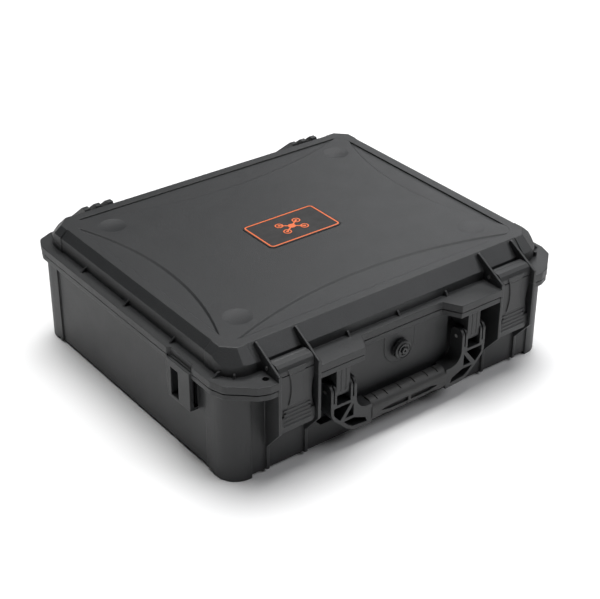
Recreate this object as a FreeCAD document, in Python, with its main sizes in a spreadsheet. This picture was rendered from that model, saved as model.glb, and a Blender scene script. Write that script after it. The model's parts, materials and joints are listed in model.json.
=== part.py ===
"""Hard carrying case for a drone: two moulded shells on a back hinge, two latches, a folding
handle, a purge valve and foam inside.

Millimetres.  X is the width, the front (handle and latches) is -Y, the hinge is +Y and Z is up.
The origin is at the bottom centre, on the plane of the four corner feet.
"""
import FreeCAD, Part
import math
import os
import re
import Sketcher

Vector = FreeCAD.Vector

# Driving dimensions.  Heights are over the foot plane, "half" sizes are from the centre planes,
# and front and back positions are distances from the middle, so a front one is used with a minus.
SIZES = {
    # shells
    "foot_height": 3, "floor_top": 7, "base_flange_low": 97.5, "parting": 103,
    "lid_flange_top": 112, "lid_top": 136, "proud": 0.9,
    "base_half_x": 202, "base_half_y": 174.5, "base_corner": 23, "base_proud": 1.6,
    "base_zone_x": 178, "base_zone_y": 139, "foot_zone_y": 149,
    "lid_half_x": 198, "lid_half_y": 170, "lid_corner": 26, "top_half_x": 190, "top_half_y": 156,
    "lid_zone_x": 168, "lid_zone_y": 133, "corner_sum": 336,
    "flange_half_x": 210, "flange_mid_y": 178.5, "reach": 197, "lip": 1.3, "cavity_corner": 23,
    "base_cavity_x": 198.5, "base_cavity_front": 162.5, "base_cavity_back": 171,
    "lid_cavity_x": 194.5, "lid_cavity_y": 166.5, "lid_step": 120.5, "lid_ceiling": 132.5,
    "lid_inner_x": 188.5, "lid_inner_y": 154.5,
    "ring_half_x": 202, "ring_half_y": 172.5, "tongue_half": 1.2, "tongue_height": 2.8,
    "groove_half": 2.2, "groove_depth": 5.2, "ring_corner": 24, "gasket_half": 1.9,
    "gasket_depth": 2.2,
    # top face
    "rim_width": 10.5, "rim_drop": 1.6, "field_rise": 1.5, "field_slope": 2.6,
    "field_side_x": 184.5, "field_side_y": 138, "field_front_x": 174, "field_front_y": 147.5,
    "field_side_bow": 29.5, "field_front_bow": 32,
    "dimple_x": 147.7, "dimple_y": 113, "dimple_radius": 14.5, "dimple_depth": 1.2,
    # badge
    "badge_half_x": 45.6, "badge_half_y": 27.4, "badge_round": 6, "badge_thick": 1.1,
    "badge_sink": 0.6, "badge_gap": 0.3, "line_inset": 1.5, "line_width": 1.7,
    "mark_thick": 0.25,
    # latches, their ribs and fins
    "rib_thick": 3.2, "rib_inner_x": 115.1, "rib_outer_x": 160.1, "rib_low_y": 177,
    "rib_jog_low": 30, "rib_jog_high": 54, "fin_shoulder": 117.5, "fin_tip_y": 159,
    "latch_mid": 137.6, "latch_half": 20.4, "latch_pin_y": 178, "latch_pin_z": 118,
    "latch_barrel": 5.6, "latch_face_y": 191.5, "latch_bottom": 51, "latch_skin_y": 187,
    "latch_side": 2.6, "pin_radius": 2, "bore_radius": 2.05,
    "catch_y": 181, "catch_top": 94, "catch_low": 82, "catch_half": 14,
    # handle
    "handle_pin_y": 184, "handle_pin_z": 69, "ear_front": 193.5, "ear_back": 176,
    "ear_top": 78.5, "arm_inner": 67.5, "arm_outer": 98.5, "post_mid": 83.25,
    "post_half": 7.9, "fork_half": 8.4, "fork_low": 56, "post_radius": 8,
    "grip_low": 18, "grip_high": 41.5, "grip_half": 48,
    "bay_inner": 64, "bay_outer": 113.5, "bay_low": 25, "bay_wall": 166,
    # purge valve
    "valve_z": 77, "valve_pad": 19, "valve_pad_rise": 0.8, "valve_bore": 7.05,
    "relief_half": 60, "relief_low": 13, "relief_high": 91, "relief_y": 170.5,
    # hinge
    "hinge_mid": 137.5, "hinge_pitch": 14, "hinge_y": 190.5, "knuckle_radius": 6.5,
    "knuckle_half": 3.3,
    # strap lugs and padlock holes
    "lug_x": 211.5, "lug_front": 125, "lug_back": 88, "lug_tail": 70, "lug_low": 61,
    "slot_front": 106, "slot_back": 93, "slot_low": 64, "slot_high": 95, "lug_bar_x": 207,
    "lug_channel_x": 202.2, "lug_notch_x": 206.4,
    "padlock_x": 167, "padlock_y": 184, "padlock_radius": 3.2,
    # foam
    "pad_low": 7.3, "pad_high": 17, "insert_low": 17.3, "insert_high": 102.4, "foam_gap": 0.6,
    "lid_foam_low": 103.6, "drone_floor": 37,
}

doc = FreeCAD.newDocument("carrying_case")
sheet = doc.addObject("Spreadsheet::Sheet", "sizes")
for row, (word, number) in enumerate(SIZES.items(), start=1):
    sheet.set(f"A{row}", word)
    sheet.set(f"B{row}", str(number))
    sheet.setAlias(f"B{row}", word)
doc.recompute()

NODES = []


# ---------------------------------------------------------------- drawing and feature helpers

def bound(text):
    """The expression with each word of the sheet written as sizes.word."""
    return re.sub(r"[a-z][a-z_]*[a-z]", lambda word: "sizes." + word.group(), str(text))


def new_body(label):
    body = doc.addObject("PartDesign::Body", label)
    body.Label = label
    NODES.append(body)
    return body


def bind(sketch, constraint, text):
    """Adds a constraint and ties its value to the sheet."""
    index = sketch.addConstraint(constraint)
    sketch.setExpression(f"Constraints[{index}]", bound(text))


def polygon(*points):
    """Closed outline; each corner is a pair of expressions, measured from the sketch's origin."""
    def draw(sketch):
        first = sketch.GeometryCount
        count = len(points)
        ring = [Vector(math.cos(turn), math.sin(turn), 0) * 50
                for turn in (2 * math.pi * i / count for i in range(count))]
        for i in range(count):
            sketch.addGeometry(Part.LineSegment(ring[i], ring[(i + 1) % count]))
        for i in range(count):
            following = first + (i + 1) % count
            sketch.addConstraint(Sketcher.Constraint("Coincident", first + i, 2, following, 1))
        for i, corner in enumerate(points):
            for kind, text in zip(("DistanceX", "DistanceY"), corner):
                bind(sketch, Sketcher.Constraint(kind, -1, 1, first + i, 1, 1.0), text)
    return draw


def rectangle(low_x, high_x, low_y, high_y):
    return polygon((low_x, low_y), (high_x, low_y), (high_x, high_y), (low_x, high_y))


def centred(half_x, half_y):
    return rectangle(f"-({half_x})", half_x, f"-({half_y})", half_y)


def value(text):
    """Number for a sum of sheet words and plain numbers; the sum may stand inside -( )."""
    whole = -1.0 if str(text).startswith("-(") else 1.0
    terms = re.findall(r"([+-]?) *([a-z][a-z_]*|[0-9.]+)", str(text)[1 if whole < 0 else 0:])
    return whole * sum(float(sign + "1") * float(SIZES.get(term, term)) for sign, term in terms)


def rounded(low_x, high_x, low_y, high_y, radius):
    """Rectangle with round corners: lines 0, 2, 4, 6 and the arcs 1, 3, 5, 7 between them."""
    def draw(sketch):
        first = sketch.GeometryCount
        inner_x = (f"{low_x} + {radius}", f"{high_x} - ({radius})")
        inner_y = (f"{low_y} + {radius}", f"{high_y} - ({radius})")
        corners = [((inner_x[0], low_y), (inner_x[1], low_y)),
                   ((high_x, inner_y[0]), (high_x, inner_y[1])),
                   ((inner_x[1], high_y), (inner_x[0], high_y)),
                   ((low_x, inner_y[1]), (low_x, inner_y[0]))]
        across = value(radius)
        x = (value(low_x) + across, value(high_x) - across)
        y = (value(low_y) + across, value(high_y) - across)
        centres = [(x[1], y[0]), (x[1], y[1]), (x[0], y[1]), (x[0], y[0])]
        ends = [((x[0], y[0] - across), (x[1], y[0] - across)),
                ((x[1] + across, y[0]), (x[1] + across, y[1])),
                ((x[1], y[1] + across), (x[0], y[1] + across)),
                ((x[0] - across, y[1]), (x[0] - across, y[0]))]
        for quarter, (centre, line) in enumerate(zip(centres, ends)):
            sketch.addGeometry(Part.LineSegment(Vector(*line[0]), Vector(*line[1])))
            round_corner = Part.Circle(Vector(*centre), Vector(0, 0, 1), across)
            start = (quarter - 1) * math.pi / 2
            sketch.addGeometry(Part.ArcOfCircle(round_corner, start, start + math.pi / 2))
        for side in range(4):
            line, arc, following = (first + (2 * side + step) % 8 for step in (0, 1, 2))
            for end, texts, numbers in zip((1, 2), corners[side], ends[side]):
                bind(sketch, Sketcher.Constraint("DistanceX", -1, 1, line, end, numbers[0]), texts[0])
                bind(sketch, Sketcher.Constraint("DistanceY", -1, 1, line, end, numbers[1]), texts[1])
            sketch.addConstraint(Sketcher.Constraint("Coincident", arc, 1, line, 2))
            sketch.addConstraint(Sketcher.Constraint("Coincident", arc, 2, following, 1))
            bind(sketch, Sketcher.Constraint("Radius", arc, across), radius)
    return draw


def rounded_centred(half_x, half_y, radius):
    return rounded(f"-({half_x})", half_x, f"-({half_y})", half_y, radius)


def circle(x, y, radius):
    def draw(sketch):
        index = sketch.addGeometry(Part.Circle(Vector(1, 1, 0), Vector(0, 0, 1), 1.0))
        bind(sketch, Sketcher.Constraint("Radius", index, 1.0), radius)
        bind(sketch, Sketcher.Constraint("DistanceX", -1, 1, index, 3, 1.0), x)
        bind(sketch, Sketcher.Constraint("DistanceY", -1, 1, index, 3, 1.0), y)
    return draw


def sketch_at(body, name, plane, place, outlines):
    """Sketch parallel to one of the body's own origin planes, at a place along that axis."""
    sketch = body.newObject("Sketcher::SketchObject", name)
    origin = next(item for item in body.Origin.OriginFeatures if item.Role == plane + "_Plane")
    sketch.AttachmentSupport = [(origin, "")]
    sketch.MapMode = "FlatFace"
    sign = "-" if plane == "XZ" else ""
    sketch.setExpression("AttachmentOffset.Base.z", bound(f"{sign}({place})"))
    for draw in outlines:
        draw(sketch)
    return sketch


def extrude(body, kind, name, plane, low, high, outlines):
    """Pad or Pocket from low to high along the axis that stands on the plane."""
    feature = body.newObject("PartDesign::" + kind, name)
    feature.Profile = sketch_at(body, name + "_sketch", plane, low, outlines)
    feature.setExpression("Length", bound(f"({high}) - ({low})"))
    along_normal = plane != "XZ"
    feature.Reversed = along_normal == (kind == "Pocket")
    return feature


def pad(body, name, plane, low, high, *outlines):
    return extrude(body, "Pad", name, plane, low, high, outlines)


def cut(body, name, plane, low, high, *outlines):
    return extrude(body, "Pocket", name, plane, low, high, outlines)


def loft(body, name, sketches, kind="Additive"):
    feature = body.newObject(f"PartDesign::{kind}Loft", name)
    feature.Profile = sketches[0]
    feature.Sections = sketches[1:]
    feature.Ruled = True
    return feature


def turned(body, name, x, z, points):
    """Revolution about an axis along Y through x and z; points are (radius, y) pairs."""
    sketch = body.newObject("Sketcher::SketchObject", name + "_sketch")
    origin = next(item for item in body.Origin.OriginFeatures if item.Role == "XY_Plane")
    sketch.AttachmentSupport = [(origin, "")]
    sketch.MapMode = "FlatFace"
    sketch.setExpression("AttachmentOffset.Base.x", bound(x))
    sketch.setExpression("AttachmentOffset.Base.z", bound(z))
    polygon(*points)(sketch)
    feature = body.newObject("PartDesign::Revolution", name)
    feature.Profile = sketch
    feature.ReferenceAxis = (sketch, ["V_Axis"])
    feature.Angle = 360
    return feature


def round_edges(body, name, radius, middles):
    """Fillet on the edges whose middles are at the given points."""
    doc.recompute()
    base = body.Tip
    wanted = [Vector(*middle) for middle in middles]
    edges = [f"Edge{i}" for i, edge in enumerate(base.Shape.Edges, start=1)
             if any((edge.CenterOfMass - middle).Length < 0.3 for middle in wanted)]
    if len(edges) != len(wanted):
        raise RuntimeError(f"{body.Label}.{name}: {len(edges)} of {len(wanted)} edges found")
    fillet = body.newObject("PartDesign::Fillet", name)
    fillet.Base = (base, edges)
    fillet.setExpression("Radius", bound(radius))
    return fillet


def both(points):
    """The right half of an outline, joined to its mirror image into one closed outline."""
    mirrored = [(f"-({x})", y) for x, y in reversed(points)]
    return polygon(*points, *mirrored)


SIDES = {"left": "-", "right": "+"}
BASE_CAVITY = ("-base_cavity_x", "base_cavity_x", "-base_cavity_front", "base_cavity_back")


# ---------------------------------------------------------------- shared outlines

def flange(body, name, low, high, inset, side_points=()):
    """Layer of a flange, moved in by inset: set back at the middle and at the two latch
    bays, cut at the corners; side_points are further corners along the side."""
    front, side = f"-reach + {inset}", f"flange_half_x - {inset}"
    bay, back = f"-flange_mid_y + {inset}", f"flange_mid_y - {inset}"
    slant = 0.7 * inset
    pad(body, name, "XY", low, high, both([
        ("51", bay), ("61.5", front), ("rib_inner_x", front), ("rib_inner_x", bay),
        ("rib_outer_x", bay), ("rib_outer_x", front), ("171", front),
        (182 - slant, slant - 192.5), (191 - slant, slant - 184), (205 - slant, slant - 172),
        (side, "-157"), *side_points, (side, "156"), (204 - slant, 171 - slant), ("188", back)]))
    half_x, reach, back_y = (SIZES[word] - inset for word in ("flange_half_x", "reach",
                                                              "flange_mid_y"))
    corners = ((171, -reach), (191 - slant, slant - 184), (205 - slant, slant - 172),
               (half_x, -157), (half_x, 156), (204 - slant, 171 - slant), (188, back_y))
    z = (value(low) + value(high)) / 2
    round_edges(body, name + "_corners", 9,
                [(x * side, y, z) for side in (-1, 1) for x, y in corners])


def ring(half):
    """A closed band on the seal line, half its width each side."""
    return [rounded_centred(f"ring_half_x {sign} {half}", f"ring_half_y {sign} {half}",
                            f"ring_corner {sign} {half}") for sign in "+-"]


def hinge_places(steps):
    """Named X places of the knuckles of both hinges, in steps of the pitch from the middle."""
    for side, sign in SIDES.items():
        for number, step in enumerate(steps, start=1):
            yield f"{side}_{number}", f"{sign}hinge_mid + {step} * hinge_pitch"


# ---------------------------------------------------------------- base shell

def base_shell():
    body = new_body("base_shell")
    pad(body, "block", "XY", "0", "base_flange_low",
        rounded_centred("base_half_x + base_proud", "base_half_y + base_proud", "base_corner"))
    cut(body, "between_feet_x", "XY", "-1", "foot_height", centred("base_zone_x", "250"))
    cut(body, "between_feet_y", "XY", "-1", "foot_height", centred("250", "foot_zone_y"))
    cut(body, "panels", "XY", "foot_height", "base_flange_low",
        rectangle("base_half_x", "250", "-base_zone_y", "base_zone_y"),
        rectangle("-250", "-base_half_x", "-base_zone_y", "base_zone_y"),
        rectangle("-base_zone_x", "base_zone_x", "base_half_y", "250"),
        rectangle("-base_zone_x", "base_zone_x", "-250", "-base_half_y"))
    flange(body, "flange", "base_flange_low", "parting", 0.6)
    base_front(body)
    for side, sign in SIDES.items():
        strap_lug(body, side, sign)
    for name, x in hinge_places((-1.5, -0.5, 0.5, 1.5)):
        low, high = f"{x} - knuckle_half", f"{x} + knuckle_half"
        pad(body, "hinge_fin_" + name, "YZ", low, high,
            polygon(("172", "parting"), ("hinge_y", "parting"), ("reach", "parting"),
                    ("reach", "parting - 4"), ("172", "parting - 44")))
        pad(body, "knuckle_" + name, "YZ", low, high,
            circle("hinge_y", "parting", "knuckle_radius"))
    cut(body, "cavity", "XY", "floor_top", "parting", rounded(*BASE_CAVITY, "cavity_corner"))
    cut(body, "relief", "XY", "relief_low", "relief_high",
        rectangle("-relief_half", "relief_half", "-relief_y", "-base_cavity_front + 1"))
    pad(body, "tongue", "XY", "parting", "parting + tongue_height", *ring("tongue_half"))
    cut(body, "handle_bores", "YZ", "-arm_outer", "arm_outer",
        circle("-handle_pin_y", "handle_pin_z", "bore_radius"))
    cut(body, "hinge_bores", "YZ", "-flange_half_x", "flange_half_x",
        circle("hinge_y", "parting", "bore_radius"))
    cut(body, "valve_bore", "XZ", "-base_half_y - 3", "-base_cavity_front",
        circle("0", "valve_z", "valve_bore"))
    cut(body, "padlock_holes", "XY", "base_flange_low - 1", "parting + 1", *padlock_holes())


def padlock_holes():
    return [circle(f"{sign}padlock_x", "-padlock_y", "padlock_radius")
            for sign in SIDES.values()]


def base_front(body):
    """Handle bays and posts, valve pad, latch ribs and latch catches on the front wall."""
    bay = [("bay_inner", "bay_low"), ("bay_outer - 18", "bay_low"),
           ("bay_outer", "bay_low + 18"), ("bay_outer", "base_flange_low"),
           ("bay_inner", "base_flange_low")]
    cut(body, "handle_bays", "XZ", "-base_half_y - 4", "-bay_wall",
        polygon(*bay), polygon(*((f"-({x})", z) for x, z in bay)))
    wall, front = "-base_half_y", "-base_half_y - valve_pad_rise"
    pad(body, "valve_pad", "XZ", front, wall,
        rectangle("-valve_pad", "valve_pad", "valve_z + 3", "base_flange_low"))
    pad(body, "valve_pad_end", "XZ", front, wall, circle("0", "valve_z + 3", "valve_pad"))
    for side, sign in SIDES.items():
        low, high = f"{sign}post_mid - post_half", f"{sign}post_mid + post_half"
        pad(body, f"post_{side}", "YZ", low, high,
            polygon(("-bay_wall", "base_flange_low"),
                    ("-handle_pin_y - post_radius", "base_flange_low"),
                    ("-handle_pin_y - post_radius", "handle_pin_z"),
                    ("-handle_pin_y + post_radius", "handle_pin_z"),
                    ("-bay_wall", "handle_pin_z + 10")))
        pad(body, f"post_end_{side}", "YZ", low, high,
            circle("-handle_pin_y", "handle_pin_z", "post_radius"))
        cut(body, f"post_grooves_{side}", "XZ", "-handle_pin_y - post_radius - 1",
            "-handle_pin_y - post_radius + 0.4",
            *(rectangle(f"{sign}post_mid + {x - 0.8}", f"{sign}post_mid + {x + 0.8}",
                        "handle_pin_z + 1", "base_flange_low") for x in (-3, 3)))
        for rib in ("inner", "outer"):
            x = f"{sign}rib_{rib}_x"
            pad(body, f"rib_{rib}_{side}", "YZ", f"{x} - rib_thick / 2", f"{x} + rib_thick / 2",
                polygon(("-165", "parting"), ("-reach", "parting"), ("-reach", "rib_jog_high"),
                        ("-rib_low_y", "rib_jog_low"), ("-rib_low_y", "foot_height"),
                        ("-165", "foot_height")))
        middle_x = f"{sign}latch_mid"
        pad(body, f"catch_{side}", "YZ", f"{middle_x} - catch_half", f"{middle_x} + catch_half",
            polygon(("-172", "catch_top + 3"), ("-catch_y", "catch_top - 2"),
                    ("-catch_y", "catch_low + 1"), ("-172", "catch_low")))


def strap_lug(body, side, sign):
    """A loop for a strap: a slot in its face opens into a channel behind the front bar."""
    plan = [("195", "-lug_front"), ("lug_x", "-lug_front"), ("lug_x", "-lug_back"),
            ("base_half_x", "-lug_tail"), ("195", "-lug_tail")]
    pad(body, f"lug_{side}", "XY", "lug_low", "parting",
        polygon(*((f"{sign}({x})", y) for x, y in plan)))
    slot = ("lug_channel_x", "lug_x + 1") if sign == "+" else ("-lug_x - 1", "-lug_channel_x")
    channel = ("lug_channel_x", "lug_bar_x") if sign == "+" else ("-lug_bar_x", "-lug_channel_x")
    cut(body, f"lug_slot_{side}", "XY", "slot_low", "slot_high",
        rectangle(*slot, "-slot_front", "-slot_back"))
    cut(body, f"lug_channel_{side}", "XY", "slot_low", "slot_high",
        rectangle(*channel, "-lug_front - 1", "-slot_front + 1"))


# ---------------------------------------------------------------- lid shell

def lid_shell():
    body = new_body("lid_shell")
    pad(body, "block", "XY", "lid_flange_top - 1", "lid_top",
        rounded_centred("lid_half_x + proud", "lid_half_y + proud", "lid_corner"))
    cut(body, "front_slope", "YZ", "-flange_half_x", "flange_half_x",
        *slopes("lid_half_y + proud", "top_half_y + proud"))
    cut(body, "side_slope", "XZ", "-reach", "reach",
        *slopes("lid_half_x + proud", "top_half_x + proud"))
    corner_slopes(body)
    cut(body, "front_face", "YZ", "-lid_zone_x", "lid_zone_x",
        *faces("lid_half_y", "top_half_y"))
    cut(body, "side_face", "XZ", "-lid_zone_y", "lid_zone_y",
        *faces("lid_half_x", "top_half_x"))
    lug_notch = [("flange_half_x", "-lug_front - 3"), ("lug_notch_x", "-lug_front"),
                 ("lug_notch_x", "-lug_back"), ("flange_half_x", "-lug_back + 3")]
    flange(body, "flange_lip", "parting", "parting + lip", 1.7)
    flange(body, "flange", "parting + lip", "lid_flange_top", 0, lug_notch)
    gussets(body)
    lid_top(body)
    for side, sign in SIDES.items():
        for fin in ("inner", "outer"):
            x = f"{sign}rib_{fin}_x"
            pad(body, f"fin_{fin}_{side}", "YZ", f"{x} - rib_thick / 2", f"{x} + rib_thick / 2",
                polygon(("-160", "parting"), ("-reach", "parting"), ("-reach", "fin_shoulder"),
                        ("-fin_tip_y - 2.5", "lid_top + 1"), ("-fin_tip_y", "lid_top + 1"),
                        ("-fin_tip_y + 1.5", "lid_top - 3")))
    y = -(SIZES["reach"] + SIZES["fin_tip_y"] + 2.5) / 2
    z = (SIZES["fin_shoulder"] + SIZES["lid_top"] + 1) / 2
    round_edges(body, "fin_edges", 1.3,
                [(side * (x + face * SIZES["rib_thick"] / 2), y, z) for side in (-1, 1)
                 for x in (SIZES["rib_inner_x"], SIZES["rib_outer_x"]) for face in (-1, 1)])
    for name, x in hinge_places((-1, 0, 1)):
        low, high = f"{x} - knuckle_half", f"{x} + knuckle_half"
        pad(body, "hinge_fin_" + name, "YZ", low, high,
            polygon(("160", "parting"), ("reach", "parting"), ("reach", "parting + 8"),
                    ("fin_tip_y + 6", "lid_top + 1"), ("fin_tip_y", "lid_top + 1"),
                    ("fin_tip_y - 1.5", "lid_top - 3")))
        pad(body, "knuckle_" + name, "YZ", low, high,
            circle("hinge_y", "parting", "knuckle_radius"))
    cut(body, "cavity", "XY", "parting", "lid_step",
        rounded_centred("lid_cavity_x", "lid_cavity_y", "cavity_corner - 1"))
    cut(body, "ceiling", "XY", "lid_step", "lid_ceiling",
        rounded_centred("lid_inner_x", "lid_inner_y", "12"))
    cut(body, "groove", "XY", "parting", "parting + groove_depth", *ring("groove_half"))
    cut(body, "latch_bores", "YZ", "-rib_outer_x - 5", "rib_outer_x + 5",
        circle("-latch_pin_y", "latch_pin_z", "bore_radius"))
    cut(body, "hinge_bores", "YZ", "-flange_half_x", "flange_half_x",
        circle("hinge_y", "parting", "bore_radius"))
    cut(body, "padlock_holes", "XY", "parting - 1", "lid_flange_top + 1", *padlock_holes())


def slopes(wall, top):
    """Two triangles that take the square edge off along the front and back, or the sides."""
    drop = f"lid_top + 0.5 - ({wall}) + ({top})"
    return [polygon((f"{sign}({wall} + 0.5)", drop), (f"{sign}({top} - 0.5)", "lid_top + 0.5"),
                    (f"{sign}({wall} + 9)", "lid_top + 0.5"), (f"{sign}({wall} + 9)", drop))
            for sign in SIDES.values()]


def corner_slopes(body):
    """Slanting flats across the lid's four corners, wider at the top than at the shoulder."""
    out_x, out_y = 230, 200
    for number, (x, y) in enumerate((("-", "-"), ("-", "+"), ("+", "-"), ("+", "+")), start=1):
        flats = []
        for level, z, drop in (("low", "lid_top - 18", 18), ("high", "lid_top + 1", -1)):
            across = f"corner_sum + {1.25 * drop}"
            triangle = polygon((f"{x}{out_x}", f"{y}{out_y}"),
                               (f"{x}{out_x}", f"{y}({across} - {out_x})"),
                               (f"{x}({across} - {out_y})", f"{y}{out_y}"))
            flats.append(sketch_at(body, f"corner_{number}_{level}", "XY", z, [triangle]))
        loft(body, f"corner_slope_{number}", flats, "Subtractive")


def faces(wall, top):
    """Two outlines of what lies outside the lid's flat faces between the proud corner zones."""
    drop = f"lid_top - ({wall}) + ({top})"
    return [polygon((f"{sign}({wall})", "lid_flange_top"), (f"{sign}({wall})", drop),
                    (f"{sign}({top})", "lid_top"), (f"{sign}({top})", "lid_top + 3"),
                    (f"{sign}({wall} + 9)", "lid_top + 3"),
                    (f"{sign}({wall} + 9)", "lid_flange_top"))
            for sign in SIDES.values()]


def gussets(body):
    """Small webs between the lid's wall and its flange."""
    thick = 1.1
    front_x = (-62, 0, 62)
    side_y = (-155, -82, 1, 83)
    outlines = [rectangle(x - thick, x + thick, *ends) for x in front_x
                for ends in (("-lid_half_y - 5", "-lid_half_y + 2"),
                             ("lid_half_y - 2", "lid_half_y + 5"))]
    outlines += [rectangle(*ends, y - thick, y + thick) for y in side_y
                 for ends in (("-lid_half_x - 7", "-lid_half_x + 2"),
                              ("lid_half_x - 2", "lid_half_x + 7"))]
    foot_x, foot_y, reach_x, reach_y = 183, 158, 190, 168
    outlines += [polygon((f"{across}({foot_x} + {thick})", f"{along}({foot_y})"),
                         (f"{across}({reach_x} + {thick})", f"{along}({reach_y})"),
                         (f"{across}({reach_x} - {thick})", f"{along}({reach_y})"),
                         (f"{across}({foot_x} - {thick})", f"{along}({foot_y})"))
                 for across in "-+" for along in "-+"]
    pad(body, "gussets", "XY", "lid_flange_top - 1", "lid_flange_top + 5", *outlines)
    for name, plane, wall, foot in (("front", "YZ", "lid_half_y", 5),
                                    ("side", "XZ", "lid_half_x", 7)):
        cut(body, f"gusset_slope_{name}", plane, "-reach + 8", "reach - 8",
            *(polygon((f"{sign}({wall} + proud)", "lid_flange_top + 5.5"),
                      (f"{sign}({wall} + {foot})", "lid_flange_top"),
                      (f"{sign}({wall} + {foot + 9})", "lid_flange_top"),
                      (f"{sign}({wall} + {foot + 9})", "lid_flange_top + 5.5"))
              for sign in SIDES.values()))


def lid_top(body):
    """Raised rim, a field bowed in on all four sides, four dimples and the badge's seat."""
    cut(body, "top_recess", "XY", "lid_top - rim_drop", "lid_top + 2",
        rounded_centred("top_half_x - rim_width", "top_half_y - rim_width", "14"))
    low, high = "lid_top - rim_drop", "lid_top - rim_drop + field_rise"
    loft(body, "field", [field_sketch(body, "field_low", low, 0),
                         field_sketch(body, "field_high", high, SIZES["field_slope"])])
    dimple = "(dimple_radius ^ 2 + dimple_depth ^ 2) / (2 * dimple_depth)"
    for number, (x, y) in enumerate((("-", "-"), ("-", "+"), ("+", "-"), ("+", "+")), start=1):
        ball = body.newObject("PartDesign::SubtractiveSphere", f"dimple_{number}")
        origin = next(item for item in body.Origin.OriginFeatures if item.Role == "XY_Plane")
        ball.AttachmentSupport = [(origin, "")]
        ball.MapMode = "FlatFace"
        ball.setExpression("Radius", bound(dimple))
        ball.setExpression("AttachmentOffset.Base.x", bound(f"{x}dimple_x"))
        ball.setExpression("AttachmentOffset.Base.y", bound(f"{y}dimple_y"))
        ball.setExpression("AttachmentOffset.Base.z",
                           bound(f"{high} - dimple_depth + {dimple}"))
    cut(body, "badge_seat", "XY", "lid_top - rim_drop + field_rise - badge_sink", "lid_top + 2",
        rounded_centred("badge_half_x + badge_gap", "badge_half_y + badge_gap", "badge_round"))


def field_sketch(body, name, z, inset):
    """Outline of four arcs that bow inwards, joined by short corner lines."""
    sketch = sketch_at(body, name, "XY", z, [])
    front = ("field_front_x", "field_front_y", "field_front_bow")
    side = ("field_side_y", "field_side_x", "field_side_bow")
    ends = []
    for quarter, (chord, across, bow) in enumerate((front, side, front, side)):
        half = SIZES[chord] - inset
        radius = (half ** 2 + SIZES[bow] ** 2) / (2 * SIZES[bow])
        outward = (quarter - 1) * math.pi / 2
        reach = SIZES[across] - inset - SIZES[bow] + radius
        centre = Vector(reach * math.cos(outward), reach * math.sin(outward), 0)
        swing = math.asin(half / radius)
        arc = Part.ArcOfCircle(Part.Circle(centre, Vector(0, 0, 1), radius),
                               outward + math.pi - swing, outward + math.pi + swing)
        sketch.addGeometry(arc)
        ends.append((arc.StartPoint, arc.EndPoint))
        bind(sketch, Sketcher.Constraint("Radius", quarter, radius),
             f"(({chord} - {inset}) ^ 2 + {bow} ^ 2) / (2 * {bow})")
    near_front, near_side = ("field_front_x", "field_front_y"), ("field_side_x", "field_side_y")
    lines = (("+-", near_front, near_side), ("++", near_side, near_front),
             ("-+", near_front, near_side), ("--", near_side, near_front))
    for quarter, (signs, *corners) in enumerate(lines):
        following = (quarter + 1) % 4
        points = (ends[quarter][0], ends[following][1])
        line = sketch.addGeometry(Part.LineSegment(*points))
        sketch.addConstraint(Sketcher.Constraint("Coincident", quarter, 1, line, 1))
        sketch.addConstraint(Sketcher.Constraint("Coincident", following, 2, line, 2))
        for end, (words, point) in enumerate(zip(corners, points), start=1):
            for kind, sign, word, place in zip(("DistanceX", "DistanceY"), signs, words, point):
                bind(sketch, Sketcher.Constraint(kind, -1, 1, line, end, place),
                     f"{sign}({word} - {inset})")
    return sketch


def lid_gasket():
    body = new_body("lid_gasket")
    pad(body, "cord", "XY", "parting + groove_depth - gasket_depth", "parting + groove_depth",
        *ring("gasket_half"))


# ---------------------------------------------------------------- latches

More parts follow.
